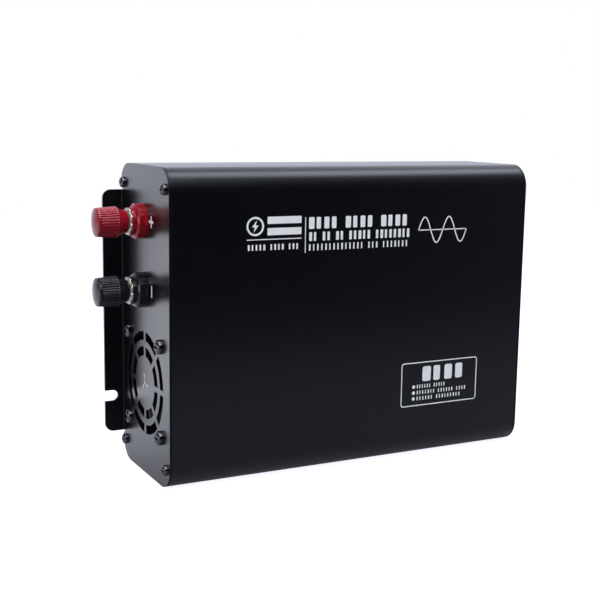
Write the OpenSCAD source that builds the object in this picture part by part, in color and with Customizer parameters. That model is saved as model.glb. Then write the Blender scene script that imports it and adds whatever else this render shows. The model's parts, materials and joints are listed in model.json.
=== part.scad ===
// Power inverter: an extruded aluminium case closed by two bent end panels with mounting flanges.
// X runs from the terminal end to the outlet end, -Y is the printed face and +Y the wall side.
// Z is up. The origin is the centre of the narrow side that the case stands on.

/* [Body] */
// Length over both end panels
body_l = 229; // [228:1:260]
// Depth from the printed face to the wall side
body_d = 76.5; // [76:0.5:84]
// Height of the case as it stands
body_h = 172; // [170:1:190]
// Outer corner radius of the case
corner_r = 13; // [12:0.5:14]
// Wall thickness of the extrusion
wall = 2; // [1.8:0.1:2.2]
// Sheet thickness of the end panels
panel_t = 1.5; // [1.4:0.1:1.6]

/* [Mounting flanges] */
// How far a flange reaches past its end panel
flange_out = 11.4; // [11:0.2:16]
// Distance from the top and bottom of the case to the flange
flange_inset = 15.4; // [14:0.2:20]
// Radius of the flange's free corners
flange_corner_r = 5; // [3:0.5:6]
// Width of the open screw notches
notch_w = 6.4; // [5.2:0.2:7]
// Depth of the notches from the flange's free edge
notch_deep = 7.8; // [6:0.2:8]
// Distance between the two notches of one flange
notch_pitch = 98.6; // [90:0.2:105]

/* [Fan] */
// Side of the square fan frame
fan_size = 60; // [60:1:60]
// Depth of the fan frame
fan_depth = 25; // [20:1:25]
// Distance between the fan's screw holes
fan_pitch = 50; // [50:1:50]
// Height of the fan's axis
fan_z = 51.9; // [48:0.1:56]
// Sideways offset of the fan's axis
fan_y = 0; // [0:0.1:2]
// Number of fan blades
blade_count = 7; // [5:1:9]

/* [Terminals] */
// Height of the positive terminal's axis
red_z = 141.6; // [136:0.1:144]
// Distance between the two terminals
terminal_pitch = 37.6; // [34:0.1:40]
// Sideways offset of both terminals
terminal_y = 1.2; // [0:0.1:2]
// Radius of the threaded studs
stud_r = 3; // [2.5:0.1:3]
// Largest radius of the insulating collars
collar_r = 9.8; // [9:0.1:10]
// Largest radius of the knobs
knob_r = 8.45; // [8:0.05:9]
// Distance from the panel to the end of a tightened knob
knob_end = 28; // [26:0.5:32]

/* [Outlet end] */
// Height of the outlet's axis
outlet_z = 95; // [92:1:98]
// Radius of the outlet's recess
recess_r = 19.5; // [19.5:0.1:19.5]
// Depth of the outlet's recess
recess_deep = 17.5; // [17.5:0.1:17.5]
// Distance between the two pin holes
pin_pitch = 19; // [19:0.1:19]
// Radius of the pin holes
pin_hole_r = 2.5; // [2.45:0.05:2.6]
// Height of the rocker switch and the charging port
switch_z = 52; // [50:1:56]
// Height of the display's centre
display_z = 143; // [141:1:144]
// Tilt of the rocker to each side of its middle
rocker_tilt = 8; // [6:1:8]

/* [Hidden] */
$fn = 64;

x_left = -body_l / 2;
x_right = body_l / 2;
y_back = body_d / 2;
x_in_left = x_left + panel_t;
x_in_right = x_right - panel_t;
black_z = red_z - terminal_pitch;

// gap kept between neighbouring solids that are screwed or pressed together
gap = 0.05;

// corner screws of the end panels, measured in from the case's outline
screw_inset_y = 5.5;
screw_inset_z = 11.1;
screw_y = body_d / 2 - screw_inset_y;
screw_low_z = screw_inset_z;
screw_high_z = body_h - screw_inset_z;
panel_screw_r = 1.5;
panel_screw_head_r = 3;
panel_screw_head_h = 2.4;
panel_screw_l = 11;

// grille rings in the terminal end panel, outer and inner radius of each
outer_ring = [23.9, 28.8];
inner_ring = [15.2, 20.2];
spoke_w = 3;
spoke_count = 8;

fan_screw_r = 2;
m4_head_r = 4;
m4_head_h = 3.1;
m4_nut_flats = 7;
m4_nut_h = 3.15;
duct_r = 28.6;
blade_tip_r = 27.8;
hub_r = 12.5;
fan_x = x_in_left + gap;
fan_inner_x = fan_x + fan_depth;
strut_t = 3;
shaft_r = 1.5;

// terminal stations, measured out from the panel's outer face
collar_t = 5;
collar_bevel_t = 1.2;
collar_rim_r = collar_r - 1.3;
disc_end = 8.2;
disc_r = 7.6;
washer_end = 10;
washer_r = 7.75;
spigot_r = 5.95;
neck_r = stud_r + 3.2;
cone_end = 12.8;
barrel_start = 15.6;
knob_bore_end = 2;
stud_end = 2.6;
stud_in = 19;
inner_bush_r = 9;
inner_bush_t = 3;

outlet_plate = 50;
outlet_plate_t = 3;
outlet_corner_r = 4;
sleeve_deep = 3;
outlet_r = 22;
contact_deep = 15;

rocker_y = -15;
rocker_pivot_x = x_right - 2;
usb_y = 15;
display_w = 48;
display_h = 28;

// the main board slides in grooves of the extrusion
board_y = 26;
board_t = 1.6;
board_x0 = -82;
board_x1 = 80;
rail_t = 4;
rail_w = 24;
rail_top = wall + rail_t;

module round_rect(w, h, r) {
    square([w - 2 * r, h], center = true);
    square([w, h - 2 * r], center = true);
    for (sx = [-1, 1], sy = [-1, 1])
        translate([sx * (w / 2 - r), sy * (h / 2 - r)]) circle(r);
}

// a flat shape drawn in Y and Z, as thick as t along X
module x_plate(x0, t) {
    translate([x0, 0, 0]) rotate([90, 0, 90]) linear_extrude(t) children();
}

module x_rod(x0, x1, r) {
    translate([x0, 0, 0]) rotate([0, 90, 0]) cylinder(h = x1 - x0, r = r);
}

module y_rod(y0, y1, r) {
    translate([0, y0, 0]) rotate([-90, 0, 0]) cylinder(h = y1 - y0, r = r);
}

// a box given by its low and high corners
module block(low, high) {
    translate(low) cube(high - low);
}

// a solid of revolution about X, its outline given as [x, radius] points
module x_turned(points) {
    rotate([0, 90, 0]) rotate_extrude() polygon([for (p = points) [p[1], p[0]]]);
}

// a pan-head screw along +X with its head's underside at x = 0
module pan_screw(head_r, head_h, shank_r, shank_l) {
    side = 0.45 * head_h;
    crown_r = 0.4 * head_r;
    slot_l = 0.62 * head_r;
    slot_w = 0.13 * head_r;
    slot_x = -0.35 * head_h;
    rise = [for (a = [0:15:75]) [-side - (head_h - side) * sin(a), crown_r + (head_r - crown_r) * cos(a)]];
    difference() {
        x_turned(concat(
            [[shank_l, 0], [shank_l, shank_r], [0, shank_r], [0, head_r]],
            rise,
            [[-head_h, 0]]
        ));
        for (turn = [0, 90])
            rotate([turn, 0, 0]) block([-head_h - 1, -slot_l, -slot_w], [slot_x, slot_l, slot_w]);
    }
}

module hex_nut_x(x0, x1, flats, bore_r) {
    difference() {
        translate([x0, 0, 0]) rotate([0, 90, 0]) cylinder(h = x1 - x0, r = flats / sqrt(3), $fn = 6);
        x_rod(x0 - 1, x1 + 1, bore_r);
    }
}

module at_panel_screws() {
    for (y = [-screw_y, screw_y], z = [screw_low_z, screw_high_z]) translate([0, y, z]) children();
}

module at_fan_screws() {
    for (y = [-1, 1], z = [-1, 1])
        translate([0, fan_y + y * fan_pitch / 2, fan_z + z * fan_pitch / 2]) children();
}

/* ---------------- case and end panels ---------------- */

module case_outline() {
    translate([0, body_h / 2]) round_rect(body_d, body_h, corner_r);
}

module board_groove(z0, z1) {
    rib_t = 1.6;
    for (y = [board_y - gap - rib_t, board_y + board_t + gap])
        translate([y, z0]) square([rib_t, z1 - z0]);
}

module case_shell() {
    port_r = 3.6;
    rib_h = 6;
    color("#17181b") x_plate(x_in_left, body_l - 2 * panel_t) difference() {
        union() {
            difference() {
                case_outline();
                translate([0, body_h / 2])
                    round_rect(body_d - 2 * wall, body_h - 2 * wall, corner_r - wall);
            }
            for (y = [-screw_y, screw_y], z = [screw_low_z, screw_high_z])
                translate([y, z]) circle(port_r);
            board_groove(wall / 2, rib_h);
            board_groove(body_h - rib_h, body_h - wall / 2);
            for (z = [wall / 2, body_h - rail_top])
                translate([-rail_w / 2, z]) square([rail_w, rail_top - wall / 2]);
        }
        for (y = [-screw_y, screw_y], z = [screw_low_z, screw_high_z])
            translate([y, z]) circle(panel_screw_r - 0.2);
    }
}

// flange in its own plane: 2D x runs outward from the panel's outer face, 2D y is Z
module flange_outline() {
    flange_h = body_h - 2 * flange_inset;
    notch_z = notch_pitch / 2;
    translate([0, body_h / 2]) difference() {
        union() {
            translate([-panel_t, -flange_h / 2]) square([flange_out + panel_t - flange_corner_r, flange_h]);
            translate([0, -flange_h / 2 + flange_corner_r])
                square([flange_out, flange_h - 2 * flange_corner_r]);
            for (s = [-1, 1])
                translate([flange_out - flange_corner_r, s * (flange_h / 2 - flange_corner_r)])
                    circle(flange_corner_r);
        }
        for (s = [-1, 1]) translate([flange_out - notch_deep, s * notch_z]) {
            translate([notch_w / 2, 0]) circle(notch_w / 2);
            translate([notch_w / 2, -notch_w / 2]) square([notch_deep, notch_w]);
        }
    }
}

// bend between an end panel and its flange: inside radius and centre
bend_r = 0.8;
bend_x = x_left - bend_r;
bend_y = y_back - panel_t - bend_r;
module bend_round(r) {
    translate([bend_x, bend_y, 0]) cylinder(h = body_h, r = r);
}

// bent sheet for the end at -X, with children() cut through it along X
module end_panel() {
    relief_w = 1.6;
    relief_deep = 2.5;
    flange_z0 = flange_inset;
    flange_z1 = body_h - flange_inset;
    difference() {
        union() {
            x_plate(x_left, panel_t) case_outline();
            translate([x_left, y_back, 0]) rotate([90, 0, 0]) linear_extrude(panel_t)
                mirror([1, 0]) flange_outline();
            // fillet inside the bend
            difference() {
                block([bend_x, bend_y, flange_z0], [x_left, y_back - panel_t, flange_z1]);
                bend_round(bend_r);
            }
        }
        // the outside of the bend
        difference() {
            block([bend_x, bend_y, flange_z0], [x_in_left + 1, y_back + 1, flange_z1]);
            bend_round(bend_r + panel_t);
        }
        // relief cuts at both ends of the bend
        for (z = [flange_z0 - relief_w, flange_z1])
            block([x_left - 1, y_back - relief_deep, z], [x_in_left + 1, y_back + 1, z + relief_w]);
        at_panel_screws() x_rod(x_left - 1, x_in_left + 1, panel_screw_r + 0.2);
        children();
    }
}

module ring_slots(ring) {
    difference() {
        circle(ring[1]);
        circle(ring[0]);
        for (i = [0:spoke_count / 2 - 1])
            rotate(i * 360 / spoke_count) square([3 * ring[1], spoke_w], center = true);
    }
}

module terminal_end_panel() {
    color("#4a4b4e") end_panel() {
        x_plate(x_left - 1, panel_t + 2) translate([fan_y, fan_z]) ring_slots(outer_ring);
        x_plate(x_left - 1, panel_t + 2) translate([fan_y, fan_z]) ring_slots(inner_ring);
        at_fan_screws() x_rod(x_left - 1, x_in_left + 1, fan_screw_r + 0.2);
        for (z = [red_z, black_z]) translate([0, terminal_y, z])
            x_rod(x_left - 1, x_in_left + 1, spigot_r + gap);
    }
}

module vent_slot(length, width) {
    square([length - width, width], center = true);
    for (s = [-1, 1]) translate([s * (length - width) / 2, 0]) circle(width / 2);
}

module output_end_panel() {
    slot_l = 36;
    slot_w = 3;
    slot_pitch = 5;
    first_slot_z = 14;
    color("#4a4b4e") mirror([1, 0, 0]) end_panel() {
        for (i = [0:4])
            x_plate(x_left - 1, panel_t + 2) translate([0, first_slot_z + i * slot_pitch])
                vent_slot(slot_l, slot_w);
        translate([0, 0, outlet_z]) x_rod(x_left - 1, x_in_left + 1, outlet_r + gap);
        x_plate(x_left - 1, panel_t + 2) translate([rocker_y, switch_z])
            square([rocker_w + 2 * gap, rocker_l + 2 * gap], center = true);
        x_plate(x_left - 1, panel_t + 2) translate([usb_y, switch_z])
            square([usb_w + 2 * gap, usb_h + 2 * gap], center = true);
        x_plate(x_left - 1, panel_t + 2) translate([0, display_z])
            square([display_w - 4, display_h - 4], center = true);
        translate([0, earth_y, earth_z]) x_rod(x_left - 1, x_in_left + 1, earth_r + 0.2);
    }
}

module terminal_panel_screws() {
    color("#202124") at_panel_screws() translate([x_left, 0, 0])
        pan_screw(panel_screw_head_r, panel_screw_head_h, panel_screw_r - 0.25, panel_screw_l);
}

module output_panel_screws() {
    color("#202124") mirror([1, 0, 0]) terminal_panel_screws();
}

/* ---------------- fan ---------------- */

module at_fan() {
    translate([0, fan_y, fan_z]) children();
}

module fan_frame() {
    flange_t = 3.5;
    frame_corner_r = 3;
    barrel_r = duct_r + 1.2;
    base_r = 13;
    arm_w = 4;
    color("#1c1c1e") at_fan() difference() {
        union() {
            for (x = [fan_x, fan_inner_x - flange_t]) difference() {
                x_plate(x, flange_t) round_rect(fan_size, fan_size, frame_corner_r);
                x_rod(x - 1, x + flange_t + 1, duct_r);
            }
            difference() {
                x_rod(fan_x, fan_inner_x, barrel_r);
                x_rod(fan_x - 1, fan_inner_x + 1, duct_r);
            }
            x_plate(fan_inner_x - strut_t, strut_t) intersection() {
                circle(duct_r + 0.4);
                union() {
                    circle(base_r);
                    for (a = [45, 135]) rotate(a) square([2 * duct_r + 1, arm_w], center = true);
                }
            }
        }
        x_rod(fan_inner_x - strut_t - 1, fan_inner_x + 1, bush_r + gap);
        for (y = [-1, 1], z = [-1, 1]) translate([0, y * fan_pitch / 2, z * fan_pitch / 2])
            x_rod(fan_x - 1, fan_inner_x + 1, fan_screw_r + 0.2);
    }
}

bush_r = 3.5;
bush_x0 = fan_x + 9;
module fan_bush() {
    color("#b08a4a") at_fan() difference() {
        x_rod(bush_x0, fan_inner_x, bush_r);
        x_rod(bush_x0 - 1, fan_inner_x + 1, shaft_r + 0.05);
    }
}

stator_r = 9.5;
module fan_stator() {
    tooth_w = 4;
    core_r = 5.5;
    core_x0 = bush_x0 + 2;
    core_x1 = fan_inner_x - strut_t - gap;
    color("#a8642c") at_fan() difference() {
        union() {
            x_rod(core_x0, core_x1, core_r);
            for (a = [0, 90]) rotate([a, 0, 0])
                block([core_x0 + 1, -stator_r, -tooth_w / 2], [hub_x1, stator_r, tooth_w / 2]);
        }
        x_rod(fan_x, fan_inner_x, bush_r + gap);
    }
}

hub_x0 = fan_x + 3;
hub_x1 = fan_inner_x - strut_t - 1;
module fan_rotor() {
    cup_t = 1.6;
    cup_face_t = 2.5;
    blade_t = 1.4;
    blade_pitch = 48;
    blade_reach = 30;
    blade_root = hub_r - 1;
    mid_x = (hub_x0 + hub_x1) / 2;
    color("#232326") at_fan() union() {
        difference() {
            x_rod(hub_x0, hub_x1, hub_r);
            x_rod(hub_x0 + cup_face_t, hub_x1 + 1, hub_r - cup_t);
            x_rod(hub_x0 - 1, hub_x1, shaft_r);
        }
        difference() {
            intersection() {
                x_rod(hub_x0 + 0.5, hub_x1 - 0.5, blade_tip_r);
                for (i = [0:blade_count - 1]) translate([mid_x, 0, 0]) rotate([i * 360 / blade_count, 0, 0])
                    rotate([0, 0, blade_pitch])
                        block([-blade_reach, -blade_t / 2, blade_root],
                              [blade_reach, blade_t / 2, blade_tip_r + 1]);
            }
            x_rod(hub_x0, hub_x1, hub_r - 0.5);
        }
    }
}

module fan_shaft() {
    color("silver") at_fan() x_rod(hub_x0, fan_inner_x - 1, shaft_r);
}

module fan_screws() {
    color("#202124") at_fan_screws()
        translate([x_left, 0, 0]) pan_screw(m4_head_r, m4_head_h, fan_screw_r, fan_depth + 5.2);
}

module fan_nuts() {
    color("silver") at_fan_screws()
        hex_nut_x(fan_inner_x + gap, fan_inner_x + gap + m4_nut_h, m4_nut_flats, fan_screw_r + gap);
}

// two wires from the frame's inner side, turning towards the board
module fan_lead() {
    lead_r = 0.7;
    lead_pitch = 2;
    exit_y = 12;
    exit_z = fan_z + 24;
    pad_x = board_x0 + 6;
    color("#8a1c1c") for (s = [0, 1]) translate([0, 0, exit_z + s * lead_pitch]) {
        translate([0, exit_y, 0]) x_rod(fan_inner_x + gap, pad_x, lead_r);
        translate([pad_x, 0, 0]) y_rod(exit_y, board_y - gap, lead_r);
    }
}

/* ---------------- direct-current terminals ---------------- */

module at_terminal(z) {
    translate([0, terminal_y, z]) children();
}

module collar(z) {
    at_terminal(z) difference() {
        x_turned([
            [x_left - disc_end, 0], [x_left - disc_end, disc_r],
            [x_left - collar_t - collar_bevel_t, disc_r],
            [x_left - collar_t - collar_bevel_t, collar_rim_r],
            [x_left - collar_t, collar_r], [x_left, collar_r], [x_left, spigot_r],
            [x_in_left, spigot_r], [x_in_left, 0]
        ]);
        x_rod(x_left - disc_end - 1, x_in_left + 1, stud_r + gap);
    }
}

module inner_bush(z) {
    at_terminal(z) difference() {
        x_rod(x_in_left, x_in_left + inner_bush_t, inner_bush_r);
        x_rod(x_in_left - 1, x_in_left + inner_bush_t + 1, stud_r + gap);
    }
}

module stud(z) {
    at_terminal(z) x_rod(x_left - knob_end + stud_end, x_left + stud_in, stud_r);
}

module clamp_washer(z) {
    lobes = 8;
    notch_r = 2;
    notch_deep = 1;
    edge_t = 0.6;
    face_r = washer_r - 1.3;
    color("#c9c6bd") at_terminal(z) difference() {
        x_turned([
            [x_left - washer_end, 0], [x_left - washer_end, face_r],
            [x_left - disc_end - gap - edge_t, washer_r], [x_left - disc_end - gap, washer_r],
            [x_left - disc_end - gap, 0]
        ]);
        x_rod(x_left - washer_end - 1, x_left - disc_end + 1, stud_r + 0.08);
        for (i = [0:lobes - 1]) rotate([(i + 0.5) * 360 / lobes, 0, 0])
            translate([0, 0, washer_r + notch_r - notch_deep])
                x_rod(x_left - washer_end - 1, x_left - disc_end + 1, notch_r);
    }
}

// the knob's profile: a cone rising from the neck, a slightly tapered barrel and a rounded cap
module knob(z) {
    at_terminal(z) difference() {
        x_turned([
            [x_left - knob_end, 0], [x_left - knob_end, knob_r - 1.7],
            [x_left - knob_end + 0.4, knob_r - 1.05], [x_left - knob_end + 1.2, knob_r - 0.65],
            [x_left - barrel_start, knob_r], [x_left - cone_end, knob_r - 1.75],
            [x_left - washer_end - gap, neck_r], [x_left - washer_end - gap, 0]
        ]);
        x_rod(x_left - knob_end + knob_bore_end, x_left, stud_r + gap);
    }
}

lug_x = x_in_left + inner_bush_t;
lug_t = 1.2;
m6_nut_h = 5;
m6_nut_flats = 10;
module terminal_nut(z) {
    color("#c9c6bd") at_terminal(z)
        hex_nut_x(lug_x + lug_t + 2 * gap, lug_x + lug_t + m6_nut_h, m6_nut_flats, stud_r + gap);
}

barrel_y0 = 5.5;
barrel_y1 = 11.5;
cable_r = 2.6;
cable_axis_x = lug_x + 3.4;
module lug(z) {
    eye_r = 6.5;
    tongue_w = 6.6;
    barrel_r = 3.35;
    color("#b9a68a") at_terminal(z) difference() {
        union() {
            x_rod(lug_x + gap, lug_x + lug_t, eye_r);
            block([lug_x + gap, 0, -tongue_w / 2], [lug_x + lug_t, barrel_y1 - 1, tongue_w / 2]);
            translate([cable_axis_x, 0, 0]) y_rod(barrel_y0, barrel_y1, barrel_r);
        }
        x_rod(lug_x - 1, lug_x + lug_t + 1, stud_r + gap);
        translate([cable_axis_x, 0, 0]) y_rod(barrel_y0 - 1, barrel_y1 + 1, cable_r);
    }
}

module elbow(radius, wire_r) {
    rotate_extrude(angle = 90) translate([radius, 0]) circle(wire_r);
}

// from the lug towards the wall side, then along the case, then down into the board
module cable(z) {
    jacket_r = cable_r - gap;
    wide_turn = 7;
    tight_turn = 3.5;
    lug_end_y = terminal_y + barrel_y1;
    run_y = lug_end_y + wide_turn;
    pad_x = board_x0 + 8;
    translate([0, 0, z]) {
        translate([cable_axis_x, 0, 0]) y_rod(lug_end_y - 5, lug_end_y, jacket_r);
        translate([cable_axis_x + wide_turn, lug_end_y, 0]) rotate(90) elbow(wide_turn, jacket_r);
        translate([0, run_y, 0]) x_rod(cable_axis_x + wide_turn, pad_x - tight_turn, jacket_r);
        translate([pad_x - tight_turn, run_y + tight_turn, 0]) rotate(-90) elbow(tight_turn, jacket_r);
        translate([pad_x, 0, 0]) y_rod(run_y + tight_turn, board_y - gap, jacket_r);
    }
}

module red_collar() { color("#a3142a") collar(red_z); }
module red_bush() { color("#a3142a") inner_bush(red_z); }
module red_stud() { color("#c8b070") stud(red_z); }
module red_clamp_washer() { clamp_washer(red_z); }
module red_knob() { color("#a3142a") knob(red_z); }
module red_nut() { terminal_nut(red_z); }
module red_lug() { lug(red_z); }
module red_cable() { color("#a3142a") cable(red_z); }
module black_collar() { color("#151517") collar(black_z); }
module black_bush() { color("#151517") inner_bush(black_z); }
module black_stud() { color("#c8b070") stud(black_z); }
module black_clamp_washer() { clamp_washer(black_z); }
module black_knob() { color("#151517") knob(black_z); }
module black_nut() { terminal_nut(black_z); }
module black_lug() { lug(black_z); }
module black_cable() { color("#151517") cable(black_z); }

/* ---------------- outlet end ---------------- */

recess_floor_x = x_right + outlet_plate_t - recess_deep;
outlet_back_x = recess_floor_x - contact_deep - 1.5;
module outlet_body() {
    color("#101012") translate([0, 0, outlet_z]) difference() {
        union() {
            x_plate(x_right, outlet_plate_t) round_rect(outlet_plate, outlet_plate, outlet_corner_r);
            x_rod(outlet_back_x, x_right + 1, outlet_r);
        }
        x_rod(recess_floor_x, x_right + outlet_plate_t + 1, recess_r);
        for (s = [-1, 1]) translate([0, s * pin_pitch / 2, 0]) {
            x_rod(outlet_back_x - 1, recess_floor_x + 1, pin_hole_r);
            x_rod(outlet_back_x - 1, recess_floor_x - sleeve_deep, pin_hole_r + 0.9);
        }
    }
}

// two sleeves behind the pin holes and two earth strips in the recess
module outlet_contacts() {
    strip_w = 6;
    strip_t = 1;
    strip_z = recess_r - 1.4;
    color("#c8b070") translate([0, 0, outlet_z]) {
        for (s = [-1, 1]) translate([0, s * pin_pitch / 2, 0]) difference() {
            x_rod(outlet_back_x + 0.5, recess_floor_x - sleeve_deep - gap, pin_hole_r + 0.85);
            x_rod(outlet_back_x + 2, recess_floor_x, pin_hole_r);
        }
        for (s = [-1, 1]) scale([1, 1, s])
            block([recess_floor_x + gap, -strip_w / 2, strip_z - strip_t],
                  [x_right + 0.5, strip_w / 2, strip_z]);
    }
}

// one wire from each sleeve, turning towards the board; the far one turns further in
module outlet_wires() {
    wire_r = 1.1;
    turn_r = 4;
    straight_l = 6;
    stagger = 6;
    color("#7a4a22") for (s = [-1, 1]) {
        turn_x = outlet_back_x - straight_l + (s - 1) * stagger / 2;
        translate([0, s * pin_pitch / 2, outlet_z]) {
            x_rod(turn_x, outlet_back_x + 0.5 - gap, wire_r);
            translate([turn_x, turn_r, 0]) rotate(180) elbow(turn_r, wire_r);
            translate([turn_x - turn_r, 0, 0]) y_rod(turn_r, board_y - gap - s * pin_pitch / 2, wire_r);
        }
    }
}

rocker_w = 13;
rocker_l = 19.2;
rocker_back_x = x_right - 14;
rocker_pin_r = 1;
rocker_pin_l = 12;
button_w = 10.4;
button_half = 7.6;
module rocker_housing() {
    bezel_t = 1.8;
    bezel_lip = 0.95;
    bezel_corner_r = 1.2;
    well_deep = 9;
    half_w = button_w / 2 + 0.4;
    half_l = 8.5;
    pin_hole = rocker_pin_l / 2 + 0.1;
    color("#101012") translate([0, rocker_y, switch_z]) difference() {
        union() {
            x_plate(x_right, bezel_t)
                round_rect(rocker_w + 2 * bezel_lip, rocker_l + 2 * bezel_lip, bezel_corner_r);
            block([rocker_back_x, -rocker_w / 2, -rocker_l / 2], [x_right + 0.5, rocker_w / 2, rocker_l / 2]);
        }
        block([x_right - well_deep, -half_w, -half_l], [x_right + bezel_t + 1, half_w, half_l]);
        translate([rocker_pivot_x, 0, 0]) y_rod(-pin_hole, pin_hole, rocker_pin_r + gap);
    }
}

module rocker_button() {
    front = x_right + 3.2 - rocker_pivot_x;
    dish = 0.9;
    skirt_x = -1;
    skirt_half = button_half - 0.6;
    toe_x = -3.5;
    toe_half = 2;
    color("#b0121c") translate([rocker_pivot_x, rocker_y, switch_z]) rotate([0, rocker_tilt, 0]) {
        translate([0, button_w / 2, 0]) rotate([90, 0, 0]) linear_extrude(button_w) polygon([
            [front, -button_half], [front - dish, 0], [front, button_half],
            [skirt_x, skirt_half], [toe_x, toe_half], [toe_x, -toe_half], [skirt_x, -skirt_half]
        ]);
        y_rod(-rocker_pin_l / 2, rocker_pin_l / 2, rocker_pin_r);
    }
}

module rocker_tabs() {
    tab_l = 8;
    tab_w = 4.8;
    tab_t = 0.8;
    color("#c9c6bd") for (z = [-6, 0, 6]) translate([0, rocker_y, switch_z + z])
        block([rocker_back_x - tab_l, -tab_w / 2, -tab_t / 2], [rocker_back_x - gap, tab_w / 2, tab_t / 2]);
}

usb_w = 13.1;
usb_h = 5.9;
usb_back_x = x_right - 15;
module usb_shell() {
    shell_t = 0.4;
    shell_l = 15.6;
    color("silver") x_plate(usb_back_x, shell_l) translate([usb_y, switch_z]) difference() {
        square([usb_w, usb_h], center = true);
        square([usb_w - 2 * shell_t, usb_h - 2 * shell_t], center = true);
    }
}

module usb_tongue() {
    base_w = 12.2;
    base_h = 5;
    base_t = 3;
    tongue_w = 11;
    tongue_t = 1.8;
    color("white") translate([usb_back_x, usb_y, switch_z]) union() {
        block([0, -base_w / 2, -base_h / 2], [base_t, base_w / 2, base_h / 2]);
        block([base_t - 0.5, -tongue_w / 2, 0.2], [x_right - usb_back_x - 1, tongue_w / 2, 0.2 + tongue_t]);
    }
}

module usb_board() {
    usb_board_w = 18;
    top_z = switch_z - usb_h / 2 - gap;
    color("#1d5a34") block([x_right - 24, usb_y - usb_board_w / 2, top_z - board_t],
                           [x_right - 4, usb_y + usb_board_w / 2, top_z]);
}

// the display's cutout, less a margin on every side
module display_plate(x0, t, margin) {
    translate([0, 0, display_z]) x_plate(x0, t)
        square([display_w - 2 * margin, display_h - 2 * margin], center = true);
}

display_lip = 4;
display_board_x = x_right - 8;
module display_bezel() {
    bezel_t = 2;
    skirt_deep = 6;
    color("#101012") difference() {
        union() {
            translate([0, 0, display_z]) x_plate(x_right, bezel_t) round_rect(display_w, display_h, 2);
            display_plate(x_right - skirt_deep, skirt_deep + 0.5, 2.1);
        }
        display_plate(x_right - skirt_deep - 1, skirt_deep + bezel_t + 2, display_lip);
    }
}

module display_window() {
    color("#203038") display_plate(x_right, 1.2, display_lip + 0.1);
}

// the cell behind the window, its carrier, and the circuit board behind the bezel's skirt
module display_module() {
    color("#1d5a34") {
        display_plate(x_right - 5, 4.2, display_lip + 0.5);
        display_plate(display_board_x, board_t, 1);
        display_plate(display_board_x + board_t, 1.4, 7);
    }
}

module display_ribbon() {
    ribbon_x = 70;
    ribbon_y = 10;
    ribbon_w = 12;
    ribbon_t = 0.8;
    low_z = display_z - ribbon_w / 2;
    high_z = display_z + ribbon_w / 2;
    color("#8d8f94") union() {
        block([ribbon_x, ribbon_y, low_z], [display_board_x - gap, ribbon_y + ribbon_t, high_z]);
        block([ribbon_x, ribbon_y, low_z], [ribbon_x + ribbon_t, board_y - gap, high_z]);
    }
}

earth_r = 2;
earth_screw_l = 9;
earth_y = 30;
earth_z = 70;
module earth_screw() {
    color("silver") translate([0, earth_y, earth_z]) mirror([1, 0, 0])
        translate([x_left, 0, 0]) pan_screw(m4_head_r, m4_head_h, earth_r, earth_screw_l);
}

module earth_nut() {
    color("silver") translate([0, earth_y, earth_z])
        hex_nut_x(x_in_right - gap - m4_nut_h, x_in_right - gap, m4_nut_flats, earth_r + gap);
}

/* ---------------- electronics ---------------- */

module main_board() {
    edge = wall + 1.5;
    color("#1d5a34") block([board_x0, board_y, edge], [board_x1, board_y + board_t, body_h - edge]);
}

// everything below stands on the board's front face
part_y = board_y - gap;

// an upright board with a controller and a gate driver on one side
module control_board() {
    x0 = 20;
    x1 = x0 + board_t;
    chip_t = 2.4;
    color("#1d5a34") union() {
        block([x0, -8, 102], [x1, part_y, 148]);
        block([x1, 0, 108], [x1 + chip_t, 14, 122]);
        block([x1, 0, 128], [x1 + chip_t, 10, 140]);
    }
}

transformer_x = -30;
transformer_y = 9;
transformer_zs = [50, 122];
core_w = 44;
core_h = 42;
core_t = 15;
leg_w = 12;
window_w = 9.5;
yoke_h = 6.5;
module transformer_cores() {
    color("#3a3a3d") for (z = transformer_zs) translate([transformer_x, transformer_y, z]) difference() {
        block([-core_w / 2, -core_t / 2, -core_h / 2], [core_w / 2, core_t / 2, core_h / 2]);
        for (s = [-1, 1]) translate([s * (leg_w + window_w) / 2, 0, 0])
            block([-window_w / 2, -core_t, yoke_h - core_h / 2], [window_w / 2, core_t, core_h / 2 - yoke_h]);
    }
}

// wire wound round each middle leg, out to the board at the back
module transformer_windings() {
    coil_t = 9;
    half_w = leg_w / 2 + window_w - 0.3;
    half_h = core_h / 2 - yoke_h - 0.5;
    color("#c08a2a") for (z = transformer_zs) translate([transformer_x, transformer_y, z]) difference() {
        block([-half_w, -core_t / 2 - coil_t, -half_h], [half_w, part_y - transformer_y, half_h]);
        block([-leg_w / 2 - gap, -core_t / 2 - gap, -core_h], [leg_w / 2 + gap, core_t / 2 + gap, core_h]);
    }
}

module can(x, z, r, height) {
    color("#1f3a66") translate([x, 0, z]) y_rod(part_y - height, part_y, r);
}

module input_capacitors() {
    for (z = [86, 122, 140, 158]) can(-62, z, 8, 32);
}

module bus_capacitor() {
    can(18, 62, 15, 45);
}

inductor_x = 52;
inductor_z = 50;
toroid_y0 = 7;
toroid_y1 = 21;
toroid_r_in = 10;
toroid_r_out = 18;
module y_ring(y0, y1, r_in, r_out) {
    difference() {
        y_rod(y0, y1, r_out);
        y_rod(y0 - 1, y1 + 1, r_in);
    }
}

module inductor_core() {
    color("#2c5a8a") translate([inductor_x, 0, inductor_z])
        y_ring(toroid_y0, toroid_y1, toroid_r_in, toroid_r_out);
}

module inductor_winding() {
    coil_t = 3;
    color("#b5602c") translate([inductor_x, 0, inductor_z]) difference() {
        y_ring(toroid_y0 - coil_t, toroid_y1 + coil_t, toroid_r_in - coil_t, toroid_r_out + coil_t);
        y_ring(toroid_y0 - gap, toroid_y1 + gap, toroid_r_in - gap, toroid_r_out + gap);
    }
}

module film_capacitor() {
    color("#a3822a") block([40, 8, 84], [66, part_y, 94]);
}

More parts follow.
